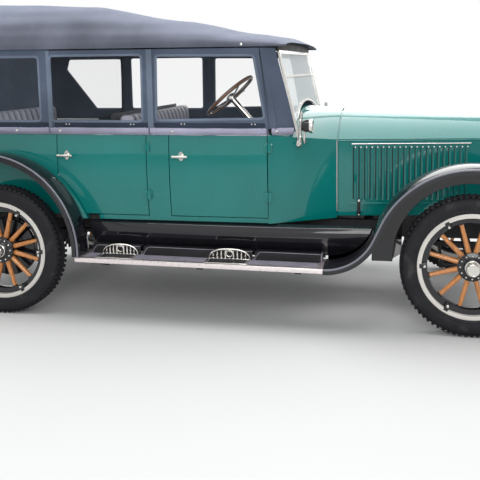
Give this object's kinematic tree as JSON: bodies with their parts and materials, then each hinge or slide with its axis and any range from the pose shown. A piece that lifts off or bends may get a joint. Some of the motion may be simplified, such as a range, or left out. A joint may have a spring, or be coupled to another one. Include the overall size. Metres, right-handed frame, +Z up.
{
  "type": "vintage touring car",
  "caption": "Open touring car with wood-spoked wheels, folding top with side curtains, four hinged doors, folding bonnet panels and geared front steering.",
  "frame": {"origin": "on the ground under the middle of the car, halfway between the spare tyre's rear face and the front fenders' tips", "axes": "+X forward, +Y to the car's left, +Z up"},
  "size_m": [4.278, 1.7, 2.0208],
  "materials": {
    "body_paint": "gloss green coach enamel",
    "black_enamel": "gloss black enamel",
    "chassis_black": "satin black chassis paint",
    "nickel": "polished nickel plate",
    "top_fabric": "rubberised black top cloth",
    "curtain_fabric": "rubberised curtain cloth with clear panes",
    "seat_leather": "pleated dark leather",
    "spoke_wood": "varnished hickory",
    "bow_wood": "stained ash bows",
    "floor_wood": "dark covered floorboards",
    "tyre_rubber": "black tyre rubber",
    "rim_silver": "pale rim enamel",
    "screen_glass": "clear plate glass",
    "engine_iron": "dull grey iron",
    "board_aluminium": "aluminium edging with ribbed grey mat",
    "core_brass": "dark honeycomb core",
    "dash_wood": "varnished dark wood"
  },
  "bodies": {
    "root": {"cowl": "body_paint", "dashboard": "dash_wood", "door_frames": "body_paint", "engine": "engine_iron", "exhaust": "chassis_black", "firewall": "chassis_black", "fixed_curtains": "curtain_fabric", "floor": "floor_wood", "frame_cross_members": "chassis_black", "frame_rails": "chassis_black", "front_axle": "chassis_black", "front_cushions": "seat_leather", "front_fenders": "black_enamel", "fuel_tank": "chassis_black", "lamps": "nickel", "leaf_springs": "chassis_black", "plate_holders": "chassis_black", "radiator_core": "core_brass", "radiator_shell": "nickel", "rear_axle": "chassis_black", "rear_cushions": "seat_leather", "rear_fenders": "black_enamel", "rear_tub": "body_paint", "running_boards": "board_aluminium", "seat_frames": "seat_leather", "spare_carrier": "chassis_black", "spare_rim": "rim_silver", "spare_tyre": "tyre_rubber", "splash_aprons": "black_enamel", "steering_column": "nickel", "step_plates": "board_aluminium", "top_bows": "bow_wood", "top_canopy": "top_fabric", "windscreen_frame": "nickel", "windscreen_glass": "screen_glass"},
    "rear_right_wheel": {"wheel_rear_right": "spoke_wood", "tyre_rear_right": "tyre_rubber"},
    "rear_left_wheel": {"wheel_rear_left": "spoke_wood", "tyre_rear_left": "tyre_rubber"},
    "front_right_wheel": {"wheel_front_right": "spoke_wood", "tyre_front_right": "tyre_rubber"},
    "front_left_wheel": {"wheel_front_left": "spoke_wood", "tyre_front_left": "tyre_rubber"},
    "knuckle_right": {"knuckle_right": "chassis_black"},
    "front_door_right": {"door_front_right": "body_paint", "curtain_front_right": "curtain_fabric"},
    "rear_door_right": {"door_rear_right": "body_paint", "curtain_rear_right": "curtain_fabric"},
    "bonnet_top_right": {"bonnet_top_right": "body_paint"},
    "bonnet_side_right": {"bonnet_side_right": "body_paint"},
    "knuckle_left": {"knuckle_left": "chassis_black"},
    "front_door_left": {"door_front_left": "body_paint", "curtain_front_left": "curtain_fabric"},
    "rear_door_left": {"door_rear_left": "body_paint", "curtain_rear_left": "curtain_fabric"},
    "bonnet_top_left": {"bonnet_top_left": "body_paint"},
    "bonnet_side_left": {"bonnet_side_left": "body_paint"},
    "steering_wheel": {"steering_wheel": "bow_wood"},
    "tie_rod": {"tie_rod": "chassis_black"}
  },
  "joints": [
    {"name": "rear_right_spin", "type": "hinge", "parent": "root", "child": "rear_right_wheel", "pos_m": [-1.31918, -0.711, 0.418], "axis": [0, 1, 0], "continuous": true},
    {"name": "rear_left_spin", "type": "hinge", "parent": "root", "child": "rear_left_wheel", "pos_m": [-1.31918, 0.711, 0.418], "axis": [0, 1, 0], "continuous": true},
    {"name": "front_right_spin", "type": "hinge", "parent": "knuckle_right", "child": "front_right_wheel", "pos_m": [1.63582, -0.711, 0.418], "axis": [0, 1, 0], "continuous": true},
    {"name": "front_left_spin", "type": "hinge", "parent": "knuckle_left", "child": "front_left_wheel", "pos_m": [1.63582, 0.711, 0.418], "axis": [0, 1, 0], "continuous": true},
    {"name": "steer_right", "type": "hinge", "parent": "root", "child": "knuckle_right", "pos_m": [1.63582, -0.596, 0.418], "axis": [0, 0, 1], "range_deg": [-30, 30]},
    {"name": "steer_left", "type": "hinge", "parent": "root", "child": "knuckle_left", "pos_m": [1.63582, 0.596, 0.418], "axis": [0, 0, 1], "range_deg": [-30, 30]},
    {"name": "steering_wheel_turn", "type": "hinge", "parent": "root", "child": "steering_wheel", "pos_m": [0.11482, -0.33, 1.386], "axis": [0.6587, 0, -0.7524], "range_deg": [-360, 360]},
    {"name": "tie_rod_swing", "type": "hinge", "parent": "knuckle_left", "child": "tie_rod", "pos_m": [1.46582, 0.556, 0.376], "axis": [0, 0, 1], "range_deg": [-30, 30]},
    {"name": "front_door_right_hinge", "type": "hinge", "parent": "root", "child": "front_door_right", "pos_m": [0.42732, -0.6873, 0.9], "axis": [0, 0, 1], "range_deg": [0, 65]},
    {"name": "rear_door_right_hinge", "type": "hinge", "parent": "root", "child": "rear_door_right", "pos_m": [-0.33768, -0.6873, 0.9], "axis": [0, 0, 1], "range_deg": [0, 65]},
    {"name": "bonnet_top_right_hinge", "type": "hinge", "parent": "root", "child": "bonnet_top_right", "pos_m": [0.81482, 0, 1.286], "axis": [-0.9991, 0, 0.0426], "range_deg": [0, 40]},
    {"name": "bonnet_side_right_hinge", "type": "hinge", "parent": "bonnet_top_right", "child": "bonnet_side_right", "pos_m": [0.82853, -0.43002, 1.1095], "axis": [-0.9894, -0.1454, 0], "range_deg": [-32, 0]},
    {"name": "front_door_left_hinge", "type": "hinge", "parent": "root", "child": "front_door_left", "pos_m": [0.42732, 0.6873, 0.9], "axis": [0, 0, -1], "range_deg": [0, 65]},
    {"name": "rear_door_left_hinge", "type": "hinge", "parent": "root", "child": "rear_door_left", "pos_m": [-0.33768, 0.6873, 0.9], "axis": [0, 0, -1], "range_deg": [0, 65]},
    {"name": "bonnet_top_left_hinge", "type": "hinge", "parent": "root", "child": "bonnet_top_left", "pos_m": [0.81482, 0, 1.286], "axis": [0.9991, 0, -0.0426], "range_deg": [0, 40]},
    {"name": "bonnet_side_left_hinge", "type": "hinge", "parent": "bonnet_top_left", "child": "bonnet_side_left", "pos_m": [0.82853, 0.43002, 1.1095], "axis": [0.9894, -0.1454, 0], "range_deg": [-32, 0]}
  ],
  "couplings": [
    {"joint": "steer_left", "follows": "steer_right", "ratio": 1},
    {"joint": "steering_wheel_turn", "follows": "steer_right", "ratio": -12},
    {"joint": "tie_rod_swing", "follows": "steer_right", "ratio": -1},
    {"joint": "bonnet_side_right_hinge", "follows": "bonnet_top_right_hinge", "ratio": -0.8},
    {"joint": "bonnet_side_left_hinge", "follows": "bonnet_top_left_hinge", "ratio": -0.8}
  ]
}
